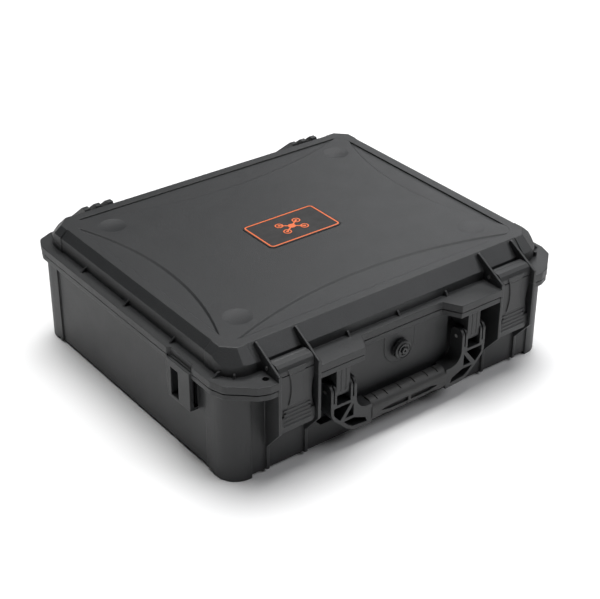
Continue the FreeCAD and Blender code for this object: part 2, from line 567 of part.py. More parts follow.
def latch(side, sign):
    """Lever on the lid's pin; it hangs in front of the base's catch, between two ribs."""
    body = new_body(f"latch_{side}")
    x = f"{sign}latch_mid"
    low, high = f"{x} - latch_half", f"{x} + latch_half"
    pad(body, "lever", "YZ", low, high,
        polygon(("-latch_pin_y - 3", "latch_pin_z + 5.6"),
                ("-latch_face_y + 5", "latch_pin_z + 5.2"),
                ("-latch_face_y + 1.6", "latch_pin_z + 3"), ("-latch_face_y", "latch_pin_z - 1"),
                ("-latch_face_y", "latch_bottom + 28"),
                ("-latch_face_y - 2", "latch_bottom + 8"), ("-latch_face_y - 1", "latch_bottom"),
                ("-catch_y - 2.5", "latch_bottom"), ("-catch_y + 0.4", "latch_bottom + 12"),
                ("-catch_y + 0.4", "latch_pin_z - 16"), ("-latch_pin_y - 2", "latch_pin_z - 5")))
    pad(body, "barrel", "YZ", low, high, circle("-latch_pin_y", "latch_pin_z", "latch_barrel"))
    inner = (f"{low} + latch_side", f"{high} - latch_side")
    cut(body, "channel", "XZ", "-latch_skin_y", "-latch_pin_y + 1",
        rectangle(*inner, "latch_bottom + 4", "latch_pin_z - 8"))
    cut(body, "waist", "XZ", "-reach - 4", "-latch_pin_y + 8",
        *(circle(f"{x} {turn} (latch_half + 52)", "latch_bottom + 33", 55) for turn in "+-"))
    field = ("-latch_face_y - 1.1", "-latch_face_y")
    pad(body, "raised_field", "XZ", *field,
        rectangle(f"{x} - 13", f"{x} + 13", "latch_bottom + 28", "latch_pin_z - 0.5"))
    cut(body, "raised_field_sides", "XZ", *field,
        *(circle(f"{x} {turn} 60", "latch_bottom + 46", 53.4) for turn in "+-"))
    cut(body, "cap_seam", "XZ", "-latch_face_y - 1", "-latch_face_y + 0.9",
        rectangle(low, high, "latch_pin_z - 6.6", "latch_pin_z - 5.6"))
    for number, z in enumerate((6, 10, 14, 18, 22), start=1):
        front = 0.5 + (27.2 - z) / 10
        pad(body, f"grip_ridge_{number}", "XZ", f"-latch_face_y - {front}", "-latch_face_y + 0.5",
            rectangle(f"{x} - 15.5", f"{x} + 15.5", f"latch_bottom + {z}",
                      f"latch_bottom + {z + 1.7}"))
    pad(body, "tooth", "YZ", f"{x} - catch_half + 2", f"{x} + catch_half - 2",
        polygon(("-latch_skin_y - 1", "catch_low - 4"), ("-catch_y - 0.6", "catch_low - 4"),
                ("-catch_y - 0.6", "catch_low - 1"), ("-latch_skin_y - 1", "catch_low + 3")))
    cut(body, "bore", "YZ", low, high, circle("-latch_pin_y", "latch_pin_z", "bore_radius"))
    numbers = [SIZES[word] for word in ("latch_mid", "latch_half", "latch_face_y", "latch_bottom")]
    mid, half, face, bottom = numbers
    mid = mid if sign == "+" else -mid
    round_edges(body, "bottom_corners", 5,
                [(mid + turn * half, -(face + 1 + SIZES["catch_y"] + 2.5) / 2, bottom)
                 for turn in (-1, 1)])


# ---------------------------------------------------------------- handle

def handle_frame():
    body = new_body("handle_frame")
    half = [("grip_half", "grip_low"), ("74", "grip_low + 1.5"), ("arm_outer", "43"),
            ("arm_outer", "ear_top"), ("post_mid + fork_half", "ear_top"),
            ("post_mid + fork_half", "fork_low"), ("post_mid - fork_half", "fork_low"),
            ("post_mid - fork_half", "ear_top"), ("arm_inner", "ear_top"), ("arm_inner", "grip_high - 1"),
            ("grip_half", "grip_high - 1")]
    pad(body, "bow", "XZ", "-ear_front", "-ear_back", both(half))
    inner = (SIZES["arm_inner"] + SIZES["post_mid"] - SIZES["fork_half"]) / 2
    outer = (SIZES["arm_outer"] + SIZES["post_mid"] + SIZES["fork_half"]) / 2
    y = -(SIZES["ear_front"] + SIZES["ear_back"]) / 2
    bends = ((18, SIZES["arm_outer"], 43), (22, 74, SIZES["grip_low"] + 1.5),
             (15, SIZES["arm_inner"], SIZES["grip_high"] - 1))
    for number, (radius, x, z) in enumerate(bends, start=1):
        round_edges(body, f"bend_{number}", radius, [(-x, y, z), (x, y, z)])
    round_edges(body, "ear_ends", 7.5,
                [(side * x, y, SIZES["ear_top"]) for side in (-1, 1) for x in (inner, outer)
                 for y in (-SIZES["ear_front"], -SIZES["ear_back"])])
    neck_low, neck_high = "grip_low + 2.5", "grip_high - 3"
    cut(body, "neck_below", "XZ", "-ear_front - 1", "-ear_back + 1",
        rectangle("-grip_half", "grip_half", "grip_low - 1", neck_low))
    cut(body, "neck_above", "XZ", "-ear_front - 1", "-ear_back + 1",
        rectangle("-grip_half", "grip_half", neck_high, "grip_high + 2"))
    for name, low, high in (("front", "-ear_front - 1", "-ear_front + 3"),
                            ("back", "-ear_back - 2", "-ear_back + 1")):
        cut(body, f"neck_{name}", "XZ", low, high,
            rectangle("-grip_half", "grip_half", neck_low, neck_high))
    for side, sign in SIDES.items():
        arm_pockets(body, side, sign)
    cut(body, "pin_bores", "YZ", "-arm_outer - 1", "arm_outer + 1",
        circle("-handle_pin_y", "handle_pin_z", "bore_radius"))


def arm_pockets(body, side, sign):
    """Open pockets in the front of an arm, parted by two slanting webs, and slots in its ears."""
    def place(*points):
        return polygon(*((f"{sign}({x})", z) for x, z in points))
    cut(body, f"arm_pockets_{side}", "XZ", "-ear_front - 1", "-ear_back - 4",
        place(("74", "53"), ("95", "53"), ("95", "46"), ("93", "42.5"), ("87", "36.6")),
        place(("71", "50.5"), ("81.2", "36.8"), ("71", "36.8")),
        place(("83", "33.6"), ("77", "27.4"), ("71.5", "24.2"), ("54", "22.5"), ("56", "28"),
              ("70", "33.6")))
    slots = (("arm_inner + 3.2", "arm_inner + 4.8"), ("arm_outer - 4.5", "arm_outer - 2.9"))
    cut(body, f"ear_slots_{side}", "XZ", "-ear_front - 1", "-ear_front + 5",
        *(place((low, "59"), (high, "59"), (high, "ear_top + 1"), (low, "ear_top + 1"))
          for low, high in slots))


def handle_grip():
    """Soft sleeve round the handle's neck, with finger pockets on its lower front."""
    body = new_body("handle_grip")
    low, high = "-grip_half + 0.2", "grip_half - 0.2"
    front, back = "-ear_front - 0.6", "-ear_back + 0.6"
    bottom, top = "grip_low - 0.6", "grip_high + 0.6"
    pad(body, "sleeve", "YZ", low, high, rectangle(front, back, bottom, top))
    y = [SIZES["ear_front"] + 0.6, SIZES["ear_back"] - 0.6]
    z = [SIZES["grip_low"] - 0.6, SIZES["grip_high"] + 0.6]
    round_edges(body, "sleeve_edges", 8.5, [(0, -a, b) for a in y for b in z])
    cut(body, "neck", "YZ", low, high,
        rectangle("-ear_front + 2.9", "-ear_back - 1.9", "grip_low + 2.4", "grip_high - 2.9"))
    pockets = []
    for base, rise in ((1.4, 4.6), (7.4, 5.4)):
        for sign in "-+":
            pockets.append(polygon((f"{sign}1.6", f"grip_low + {base}"),
                                   (f"{sign}26", f"grip_low + {base + 0.4}"),
                                   (f"{sign}37", f"grip_low + {base + rise / 2}"),
                                   (f"{sign}26", f"grip_low + {base + rise - 0.4}"),
                                   (f"{sign}1.6", f"grip_low + {base + rise}")))
    cut(body, "finger_pockets", "XZ", f"{front} - 1", f"{front} + 2.7", *pockets)
    cut(body, "creases", "XY", f"{top} - 1.8", f"{top} + 1",
        *(rectangle(f"{x} - 0.5", f"{x} + 0.5", front, back) for x in (-39, -26, -9, 9, 26, 39)))


# ---------------------------------------------------------------- pins

def pin(label, x, y, z, length):
    """Plain steel pin along X, centred at x."""
    cylinder = doc.addObject("Part::Cylinder", label)
    cylinder.Label = label
    cylinder.setExpression("Radius", bound("pin_radius"))
    cylinder.setExpression("Height", bound(length))
    cylinder.Placement = FreeCAD.Placement(Vector(), FreeCAD.Rotation(Vector(0, 1, 0), 90))
    cylinder.setExpression("Placement.Base.x", bound(f"{x} - ({length}) / 2"))
    cylinder.setExpression("Placement.Base.y", bound(y))
    cylinder.setExpression("Placement.Base.z", bound(z))
    NODES.append(cylinder)


def pins():
    for side, sign in SIDES.items():
        pin(f"latch_pin_{side}", f"{sign}latch_mid", "-latch_pin_y", "latch_pin_z",
            "rib_outer_x - rib_inner_x + rib_thick + 1")
        pin(f"handle_pin_{side}", f"{sign}post_mid", "-handle_pin_y", "handle_pin_z",
            "arm_outer - arm_inner + 0.6")
        pin(f"hinge_pin_{side}", f"{sign}hinge_mid", "hinge_y", "parting",
            "3 * hinge_pitch + 2 * knuckle_half")


# ---------------------------------------------------------------- purge valve

def valve():
    """Threaded body through the front wall, held by a nut inside, with a knurled knob outside."""
    outside = "-base_half_y - valve_pad_rise"
    body = new_body("valve_body")
    turned(body, "barrel", "0", "valve_z",
           [("3", "-base_cavity_front - 1.5"), ("7", "-base_cavity_front - 1.5"),
            ("7", f"{outside} - 1.6"), ("10.5", f"{outside} - 1.6"), ("10.5", f"{outside} - 3"),
            ("3", f"{outside} - 3")])
    knob = new_body("valve_knob")
    turned(knob, "knob", "0", "valve_z",
           [("0", f"{outside} + 3"), ("2.94", f"{outside} + 3"), ("2.94", f"{outside} - 3.3"),
            ("10", f"{outside} - 3.3"), ("10", f"{outside} - 6.3"), ("8.2", f"{outside} - 7"),
            ("8.2", f"{outside} - 6.2"), ("6.8", f"{outside} - 6.2"), ("6.8", f"{outside} - 7.6"),
            ("5.2", f"{outside} - 7.6"), ("5.2", f"{outside} - 6.4"), ("3.6", f"{outside} - 6.4"),
            ("3.4", f"{outside} - 9"), ("1.2", f"{outside} - 9"), ("1.2", f"{outside} - 5"),
            ("0", f"{outside} - 5")])
    count = 24
    cut(knob, "knurl", "XZ", f"{outside} - 8", f"{outside} - 3",
        *(circle(f"10.4 * {math.cos(turn):.5f}", f"valve_z + 10.4 * {math.sin(turn):.5f}", 0.75)
          for turn in (2 * math.pi * i / count for i in range(count))))
    nut = new_body("valve_nut")
    corners = [(f"11.3 * {math.cos(turn):.5f}", f"valve_z + 11.3 * {math.sin(turn):.5f}")
               for turn in (math.pi * i / 3 for i in range(6))]
    pad(nut, "nut", "XZ", "-relief_y + 0.1", "-relief_y + 5", polygon(*corners))
    cut(nut, "thread", "XZ", "-relief_y", "-relief_y + 6", circle("0", "valve_z", "valve_bore"))
    seal = doc.addObject("Part::Torus", "valve_oring")
    seal.Label = "valve_oring"
    seal.Radius1 = 8.7
    seal.Radius2 = 0.75
    seal.Placement = FreeCAD.Placement(Vector(), FreeCAD.Rotation(Vector(1, 0, 0), 90))
    seal.setExpression("Placement.Base.y", bound(f"{outside} - 0.8"))
    seal.setExpression("Placement.Base.z", bound("valve_z"))
    NODES.append(seal)
    membrane = new_body("valve_membrane")
    pad(membrane, "disc", "XZ", "-base_cavity_front - 3.2", "-base_cavity_front - 2.6",
        circle("0", "valve_z", "2.95"))


# ---------------------------------------------------------------- badge

def badge_outline(inset):
    return rounded_centred(f"badge_half_x - {inset}", f"badge_half_y - {inset}",
                           f"badge_round - {inset}")


def badge():
    """A plate in a shallow seat, with a raised border line and a raised sign on it."""
    seat = "lid_top - rim_drop + field_rise - badge_sink"
    face = f"{seat} + badge_thick"
    plate = new_body("badge_plate")
    pad(plate, "plate", "XY", seat, face, badge_outline("0"))
    border = new_body("badge_border")
    pad(border, "line", "XY", face, f"{face} + mark_thick", badge_outline("line_inset"),
        badge_outline("line_inset - line_width"))
    emblem(face)


def emblem(face):
    """A plain sign for a drone: four rotor rings, each joined through its middle to a hub."""
    mark = new_body("badge_emblem")
    top = f"{face} + mark_thick"
    rotors = [(x, y) for x in (-11, 11) for y in (-7.5, 7.5)]
    pad(mark, "rings", "XY", face, top, *(circle(x, y, 4.6) for x, y in rotors))
    cut(mark, "ring_holes", "XY", face, top, *(circle(x, y, 3.2) for x, y in rotors))
    reach, rise, thin = 11.5, 7.8, 1.1
    for name, slope in (("up", 1), ("down", -1)):
        pad(mark, f"arm_{name}", "XY", face, top,
            polygon((-reach, -slope * rise - thin), (reach, slope * rise - thin),
                    (reach, slope * rise + thin), (-reach, -slope * rise + thin)))
    pad(mark, "hub", "XY", face, top, circle("0", "0", "4.2"))
    pad(mark, "rotor_hubs", "XY", face, top, *(circle(x, y, 1.6) for x, y in rotors))


# ---------------------------------------------------------------- foam

DRONE_BAY = ("-95", "95", "-60", "100")
REMOTE_BAY = ("-95", "95", "-142", "-82")
SIDE_BAYS = (("-172", "-118", "-125", "-15"), ("-172", "-118", "10", "130"),
             ("118", "172", "-125", "-50"), ("118", "172", "-30", "45"),
             ("118", "172", "65", "130"))


def foam():
    room = [f"{edge} {inward} foam_gap" for edge, inward in zip(BASE_CAVITY, "+-+-")]
    for label, low, high in (("base_foam_pad", "pad_low", "pad_high"),
                             ("base_foam_insert", "insert_low", "insert_high")):
        body = new_body(label)
        pad(body, "block", "XY", low, high, rounded(*room, "cavity_corner"))
    cut(body, "bays", "XY", "drone_floor", "insert_high", rectangle(*DRONE_BAY),
        rectangle(*REMOTE_BAY), *(rectangle(*bay) for bay in SIDE_BAYS))
    lid = new_body("lid_foam")
    pad(lid, "block", "XY", "lid_foam_low", "lid_step - 0.5",
        rounded_centred("lid_cavity_x - foam_gap", "lid_cavity_y - foam_gap",
                        "cavity_corner - 1"))
    pad(lid, "crown", "XY", "lid_step - 0.5", "lid_ceiling - foam_gap",
        rounded_centred("lid_inner_x - foam_gap", "lid_inner_y - foam_gap", "12"))


# ---------------------------------------------------------------- the whole case

def build():
    base_shell()
    lid_shell()
    lid_gasket()
    for side, sign in SIDES.items():
        latch(side, sign)
    handle_frame()
    handle_grip()
    pins()
    valve()
    badge()
    foam()
    doc.recompute()


def check_and_export():
    """Stops on any failed feature or bad shape; otherwise writes one STEP file for each piece."""
    failed = [item.Name for item in doc.Objects if {"Invalid", "Error"} & set(item.State)]
    if failed:
        raise RuntimeError(f"failed objects: {failed}")
    cuts = [item for item in doc.Objects
            if item.TypeId in ("PartDesign::Pocket", "PartDesign::SubtractiveSphere")]
    idle = [item.Name for item in cuts
            if item.Shape.Volume > item.BaseFeature.Shape.Volume - 0.01]
    if idle:
        raise RuntimeError(f"cuts that take nothing away: {idle}")
    for node in NODES:
        shape = node.Shape
        if shape.isNull() or not shape.isValid():
            raise RuntimeError(f"{node.Label} has a bad shape")
        print(f"{node.Label:20s} solids {len(shape.Solids)}  volume {shape.Volume / 1000:8.2f} cm3")
    os.makedirs("parts", exist_ok=True)
    for node in NODES:
        node.Shape.exportStep(f"parts/{node.Label}.step")


build()
check_and_export()
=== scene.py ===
"""Looks of the drone carrying case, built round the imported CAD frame.  Metres, same frame."""
import json
import math
import bpy
import bmesh
from mathutils import Matrix, Vector, noise


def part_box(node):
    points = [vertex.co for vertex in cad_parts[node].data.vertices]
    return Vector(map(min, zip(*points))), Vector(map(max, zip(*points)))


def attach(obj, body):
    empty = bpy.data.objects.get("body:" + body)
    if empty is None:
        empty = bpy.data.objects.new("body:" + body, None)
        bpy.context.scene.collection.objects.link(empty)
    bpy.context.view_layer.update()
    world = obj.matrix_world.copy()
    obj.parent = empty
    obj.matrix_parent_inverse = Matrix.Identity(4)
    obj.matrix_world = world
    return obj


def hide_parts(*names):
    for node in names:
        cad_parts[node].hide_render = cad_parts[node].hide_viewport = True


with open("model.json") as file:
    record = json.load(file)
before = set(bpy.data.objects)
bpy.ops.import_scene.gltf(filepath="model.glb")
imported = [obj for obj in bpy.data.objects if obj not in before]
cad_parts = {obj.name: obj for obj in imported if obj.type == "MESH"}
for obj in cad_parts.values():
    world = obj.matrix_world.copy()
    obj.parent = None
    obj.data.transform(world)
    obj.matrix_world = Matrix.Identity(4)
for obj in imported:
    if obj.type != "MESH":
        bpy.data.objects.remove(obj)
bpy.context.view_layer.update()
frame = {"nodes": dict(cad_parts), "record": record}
MM = 0.001

# Cosines of how far an edge's rounded normal turns, where its wear and painted highlight are
# full and where they end.
SHARP_TURN, SLIGHT_TURN = 0.82, 0.97

# Each foam bay's low x, high x, low y and high y, in mm.
BAYS = ((-95, 95, -60, 100), (-95, 95, -142, -82), (-172, -118, -125, -15),
        (-172, -118, 10, 130), (118, 172, -125, -50), (118, 172, -30, 45), (118, 172, 65, 130))
BAY_FLOOR = 37 * MM
BAY_CORNER = 7 * MM
BASE_FOAM_CORNER = 23 * MM
BASE_FOAM_GAP = 0.3 * MM

LID_FOAM_CORNER = 22 * MM
LID_FOAM_GAP = 0.6 * MM
LID_FOAM_SHOULDER = 120 * MM
LID_INNER_X, LID_INNER_Y = 188 * MM, 154 * MM
WAVE_PITCH, WAVE_DEPTH, WAVE_STEP = 30 * MM, 11 * MM, 3 * MM

CAMERA_ANGLES = (-37.182, 30.905, 0.214)
CAMERA_TARGET, CAMERA_DISTANCE = Vector((0, 0, 0.086)), 1.5306
CAMERA_RIGHT, CAMERA_UP = 0.00867, -0.03323
FOCAL_WIDTHS = 1449.21 / 600
SENSOR_WIDTH = 36

FLOOR_SIZE, FLOOR_DROP = 14, 0.0002


# ---------------------------------------------------------------- node helpers

class Nodes:
    """A material's node tree, with short calls to add nodes and link them."""

    def __init__(self, name):
        self.material = bpy.data.materials.new(name)
        self.material.use_nodes = True
        self.tree = self.material.node_tree
        self.shader = self.tree.nodes["Principled BSDF"]
        coordinates = self.tree.nodes.new("ShaderNodeTexCoord")
        self.place = coordinates.outputs["Object"]

    def add(self, kind, inputs=None, **settings):
        node = self.tree.nodes.new("ShaderNode" + kind)
        for name, value in settings.items():
            setattr(node, name, value)
        for name, value in (inputs or {}).items():
            if isinstance(value, bpy.types.NodeSocket):
                self.tree.links.new(value, node.inputs[name])
            else:
                node.inputs[name].default_value = value
        return node

    def noise(self, size, detail=2.0, roughness=0.5, stretch=None):
        """Noise between 0 and 1 whose blobs are about size metres across."""
        place = self.place
        if stretch:
            place = self.add("Mapping", {"Vector": place, "Scale": stretch}).outputs["Vector"]
        node = self.add("TexNoise", {"Vector": place, "Scale": 1.0 / size, "Detail": detail,
                                     "Roughness": roughness})
        return node.outputs["Fac"]

    def cells(self, size):
        """Distance to the middle of the nearest cell, for cells about size metres across."""
        node = self.add("TexVoronoi", {"Vector": self.place, "Scale": 1.0 / size},
                        feature="F1")
        return node.outputs["Distance"]

    def spread(self, value, low, high, start=0.3, end=0.7):
        """Maps start..end, the middle of a texture's range, on to low..high."""
        node = self.add("MapRange", {"Value": value, "From Min": start, "From Max": end,
                                     "To Min": low, "To Max": high})
        return node.outputs["Result"]

    def colours(self, factor, *stops):
        """Colour ramp through (position, colour) stops."""
        ramp = self.add("ValToRGB", {"Fac": factor})
        elements = ramp.color_ramp.elements
        while len(elements) < len(stops):
            elements.new(0.5)
        for element, (position, colour) in zip(elements, stops):
            element.position = position
            element.color = (*colour, 1.0)
        return ramp.outputs["Color"]

    def bump(self, height, depth, strength=1.0, normal=None):
        """Normal that height bends, depth metres deep, on top of another normal."""
        inputs = {"Height": height, "Distance": depth, "Strength": strength}
        if normal:
            inputs["Normal"] = normal
        return self.add("Bump", inputs).outputs["Normal"]

    def edge_normal(self, radius):
        """Normal that rounds sharp moulded edges."""
        return self.add("Bevel", {"Radius": radius}, samples=6).outputs["Normal"]

    def edges(self, rounded):
        """1 on sharp edges and 0 on flat faces, from how far the rounded normal turns."""
        flat = self.add("NewGeometry").outputs["Normal"]
        turned = self.add("VectorMath", {0: rounded, 1: flat}, operation="DOT_PRODUCT")
        return self.spread(turned.outputs["Value"], low=1.0, high=0.0, start=SHARP_TURN,
                           end=SLIGHT_TURN)

    def product(self, first, second):
        return self.add("Math", {0: first, 1: second}, operation="MULTIPLY").outputs[0]

    def plus_scaled(self, base, value, factor):
        """The base plus value times factor."""
        return self.add("Math", {0: value, 1: factor, 2: base},
                        operation="MULTIPLY_ADD").outputs[0]

    def mix(self, share, first, second):
        """Mix of two values, with this share of the second."""
        return self.add("Mix", {"Factor": share, 2: first, 3: second}).outputs[0]

    def connect(self, **sockets):
        """Links or sets the shader's sockets, and gives the finished material."""
        for name, value in sockets.items():
            socket = self.shader.inputs[name.replace("_", " ")]
            if isinstance(value, bpy.types.NodeSocket):
                self.tree.links.new(value, socket)
            else:
                socket.default_value = value
        return self.material


def grey(level, warm=0.0):
    """Grey that is a little redder where warm is above 0, and bluer where it is below."""
    return (level * (1 + warm), level, level * (1 - warm))


def moulded_plastic(name, level, grain, depth, rough, edge):
    """Black plastic with spark-eroded grain, faint flow marks, and edges rubbed smooth whose
    colour is lightened as a painted highlight.
    """
    n = Nodes(name)
    rounded = n.edge_normal(edge)
    uneven = n.spread(n.noise(0.012, detail=3.0), low=0.45, high=1.0)
    # Edge mask: edges rubbed smooth, and also painted lighter as a highlight of light catching
    # them.
    wear_and_painted_highlight = n.product(n.edges(rounded), uneven)
    patches = n.noise(0.09, detail=4.0, roughness=0.6)
    speck = n.noise(grain * 0.8, detail=2.0, roughness=0.7)
    # The edge mask lifts the colour towards the brightest stop: part wear, part painted
    # highlight on the edges.
    shade = n.plus_scaled(n.mix(0.75, patches, speck), wear_and_painted_highlight, factor=0.4)
    colour = n.colours(shade, (0.25, grey(level * 0.72, warm=-0.07)),
                       (0.5, grey(level, warm=-0.06)),
                       (0.7, grey(level * 1.45, warm=-0.04)),
                       (1.0, grey(level * 3.2, warm=-0.02)))
    flow, grit = n.noise(0.07, detail=1.0, roughness=0.4), n.noise(grain * 0.55, 3.0, 0.65)
    normal = n.bump(flow, depth=0.0001, strength=0.5, normal=rounded)
    normal = n.bump(n.cells(grain), depth, strength=0.8, normal=normal)
    normal = n.bump(grit, depth * 0.8, strength=0.8, normal=normal)
    blotch = n.spread(n.noise(0.028, detail=3.0, roughness=0.6), rough - 0.02, rough + 0.03)
    return n.connect(Base_Color=colour, Normal=normal, Specular_IOR_Level=0.5,
                     Roughness=n.plus_scaled(blotch, wear_and_painted_highlight, factor=-0.13))


def rubber(name, level, grain, rough):
    """Matt rubber with a fine cast grain."""
    n = Nodes(name)
    speck = n.noise(grain, detail=3.0, roughness=0.7)
    colour = n.colours(speck, (0.3, grey(level * 0.7)), (0.7, grey(level * 1.3)))
    normal = n.bump(n.cells(grain), depth=0.00012, strength=0.8, normal=n.edge_normal(0.0006))
    return n.connect(Base_Color=colour, Normal=normal, Specular_IOR_Level=0.45,
                     Roughness=n.spread(n.noise(0.012), rough, rough + 0.1))


def steel(name):
    """Steel drawn along x, with fine lines."""
    n = Nodes(name)
    lines = n.noise(0.0008, detail=2.0, roughness=0.6, stretch=(0.03, 1.0, 1.0))
    colour = n.colours(lines, (0.3, grey(0.42)), (0.7, grey(0.62, warm=0.01)))
    return n.connect(Base_Color=colour, Metallic=1.0, Roughness=n.spread(lines, 0.28, 0.45),
                     Normal=n.bump(lines, depth=0.00004, strength=0.6))


def foam(name, level):
    """Open-cell foam: dark pores between lighter cell walls."""
    n = Nodes(name)
    pores = n.cells(0.0016)
    coarse = n.noise(0.02, detail=4.0, roughness=0.6)
    colour = n.colours(n.mix(0.35, pores, coarse), (0.1, grey(level * 0.35)),
                       (0.35, grey(level)), (0.8, grey(level * 1.5)))
    lumps = n.bump(coarse, depth=0.0008, strength=0.4)
    return n.connect(Base_Color=colour, Roughness=n.spread(pores, 0.88, 1.0),
                     Normal=n.bump(pores, depth=0.0009, normal=lumps),
                     Specular_IOR_Level=0.15, Sheen_Weight=0.3, Sheen_Roughness=0.6)


def label(name, colour, rough):
    """Printed plastic with a faint speckle."""
    n = Nodes(name)
    speck = n.noise(0.0006, detail=3.0, roughness=0.6)
    dark = tuple(channel * 0.8 for channel in colour)
    light = tuple(min(1.0, channel * 1.15) for channel in colour)
    normal = n.bump(speck, depth=0.00003, strength=0.6, normal=n.edge_normal(0.0003))
    return n.connect(Base_Color=n.colours(speck, (0.3, dark), (0.7, light)), Normal=normal,
                     Roughness=n.spread(n.noise(0.01), rough, rough + 0.1))


def woven(name, colour):
    """Cloth whose threads cross in x and z."""
    n = Nodes(name)
    across, along = (n.add("TexWave", {"Vector": n.place, "Scale": 900.0},
                           bands_direction=direction).outputs["Fac"] for direction in "XZ")
    weave = n.product(across, along)
    shade = n.colours(weave, (0.0, tuple(channel * 0.7 for channel in colour)), (1.0, colour))
    return n.connect(Base_Color=shade, Roughness=n.spread(weave, 0.75, 0.9),
                     Normal=n.bump(weave, depth=0.0001))


LOOKS = {
    "shell_black": moulded_plastic("shell_plastic", level=0.017, grain=0.0011, depth=0.00012,
                                   rough=0.49, edge=0.0013),
    "latch_black": moulded_plastic("latch_plastic", level=0.015, grain=0.0008, depth=0.00006,
                                   rough=0.46, edge=0.0008),
    "handle_black": moulded_plastic("handle_plastic", level=0.015, grain=0.0008,
                                    depth=0.00006, rough=0.46, edge=0.0008),
    "valve_black": moulded_plastic("valve_plastic", level=0.013, grain=0.0007, depth=0.00004,
                                   rough=0.40, edge=0.0004),
    "grip_rubber": rubber("grip_rubber", level=0.026, grain=0.0008, rough=0.46),
    "gasket_rubber": rubber("gasket_rubber", level=0.018, grain=0.0006, rough=0.62),
    "steel_pin": steel("pin_steel"),
    "foam_dark": foam("cut_foam", level=0.075),
    "badge_plate": label("badge_plate", (0.014, 0.013, 0.013), rough=0.62),
    "badge_orange": label("badge_paint", (0.80, 0.16, 0.04), rough=0.38),
    "membrane_white": woven("membrane_cloth", (0.75, 0.75, 0.72)),
}


def dress_nodes():
    """Gives every CAD node its slot's material."""
    slots = {entry["node"]: entry["material_slot"] for entry in frame["record"]["subparts"]}
    for name, node in frame["nodes"].items():
        material = LOOKS[slots[name]]
        if not node.material_slots:
            node.data.materials.append(material)
        for place in node.material_slots:
            place.material = material


# ---------------------------------------------------------------- foam

def loop(low_x, high_x, low_y, high_y, radius):
    """Points round a rectangle with round corners, anticlockwise."""
    steps = 8
    corners = ((high_x - radius, high_y - radius, 0), (low_x + radius, high_y - radius, 1),
               (low_x + radius, low_y + radius, 2), (high_x - radius, low_y + radius, 3))
    return [(x + radius * math.cos(turn), y + radius * math.sin(turn))
            for x, y, quarter in corners
            for turn in ((quarter + step / steps) * math.pi / 2 for step in range(steps + 1))]


def slab(loops, low, high, edge):
    """Mesh of a flat slab with rounded edges; loops after the first are holes."""
    curve = bpy.data.curves.new("slab", "CURVE")
    curve.dimensions = "2D"
    curve.fill_mode = "BOTH"
    for points in loops:
        spline = curve.splines.new("POLY")
        spline.points.add(len(points) - 1)
        for point, (x, y) in zip(spline.points, points):
            point.co = (x, y, 0, 1)
        spline.use_cyclic_u = True
    curve.extrude = (high - low) / 2 - edge
    curve.bevel_depth = edge
    curve.bevel_resolution = 3
    curve.offset = -edge
    holder = bpy.data.objects.new("slab", curve)
    bpy.context.collection.objects.link(holder)
    bpy.context.view_layer.update()
    mesh = bpy.data.meshes.new_from_object(holder.evaluated_get(
        bpy.context.evaluated_depsgraph_get()))
    bpy.data.objects.remove(holder)
    mesh.transform(Matrix.Translation((0, 0, (low + high) / 2)))
    return mesh


def piece(name, meshes, material_slot, body):
    """One object made of the meshes, riding on the body with the slot's material."""
    form = bmesh.new()
    for mesh in meshes:
        form.from_mesh(mesh)
    bmesh.ops.remove_doubles(form, verts=form.verts, dist=0.00001)
    bmesh.ops.recalc_face_normals(form, faces=form.faces)
    joined = bpy.data.meshes.new(name)
    form.to_mesh(joined)
    form.free()
    joined.materials.clear()
    joined.materials.append(LOOKS[material_slot])
    thing = bpy.data.objects.new(name, joined)
    bpy.context.collection.objects.link(thing)
    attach(thing, body)
    return thing


def settle(mesh, amount, size):
    """Moves the points a little along their normals, as soft cut foam is never quite flat."""
    shift, inward = Vector((3.7, 1.9, 5.3)), 0.35
    moves = [vertex.normal * (noise.noise(vertex.co / size + shift) - inward) * amount
             for vertex in mesh.vertices]
    for vertex, move in zip(mesh.vertices, moves):
        vertex.co += move


def remeshed(thing, size):
    """Even voxel mesh of the object, so that it can be shaped."""
    change = thing.modifiers.new("even", "REMESH")
    change.mode = "VOXEL"
    change.voxel_size = size
    bpy.context.view_layer.update()
    mesh = bpy.data.meshes.new_from_object(thing.evaluated_get(
        bpy.context.evaluated_depsgraph_get()))
    thing.modifiers.clear()
    materials = list(thing.data.materials)
    thing.data = mesh
    thing.data.materials.clear()
    for material in materials:
        thing.data.materials.append(material)
    return thing


def foam_outline(low, high):
    gap = BASE_FOAM_GAP
    return loop(low[0] + gap, high[0] - gap, low[1] + gap, high[1] - gap, BASE_FOAM_CORNER)


def base_foam():
    """The insert with its cut bays, and the sheet below it."""
    low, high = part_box("base_foam_insert")
    outside = foam_outline(low, high)
    holes = [loop(*(side * MM for side in bay), BAY_CORNER) for bay in BAYS]
    overlap = 2 * MM
    upper = slab([outside, *holes], BAY_FLOOR - overlap, high[2] - BASE_FOAM_GAP,
                 edge=2.2 * MM)
    lower = slab([outside], low[2] + BASE_FOAM_GAP, BAY_FLOOR, edge=1.5 * MM)
    insert = piece("foam_insert_cut", [upper, lower], "foam_dark", "base")
    remeshed(insert, size=2.4 * MM)
    settle(insert.data, amount=0.9 * MM, size=0.03)
    insert.data.shade_smooth()
    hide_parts("base_foam_insert")
    low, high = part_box("base_foam_pad")
    sheet = slab([foam_outline(low, high)], low[2] + BASE_FOAM_GAP, high[2] - BASE_FOAM_GAP,
                 edge=2 * MM)
    pad = piece("foam_pad_cut", [sheet], "foam_dark", "base")
    pad.data.shade_smooth()
    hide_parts("base_foam_pad")


def wave_height(x, y):
    """Height of the egg-crate surface over its lowest peaks."""
    peak = math.cos(math.pi * x / WAVE_PITCH) * math.cos(math.pi * y / WAVE_PITCH)
    soft = 0.5 + 0.5 * peak
    wander = noise.noise(Vector((x, y, 0)) / 0.05) * 0.8 * MM
    return WAVE_DEPTH * (1 - soft ** 1.3) + wander


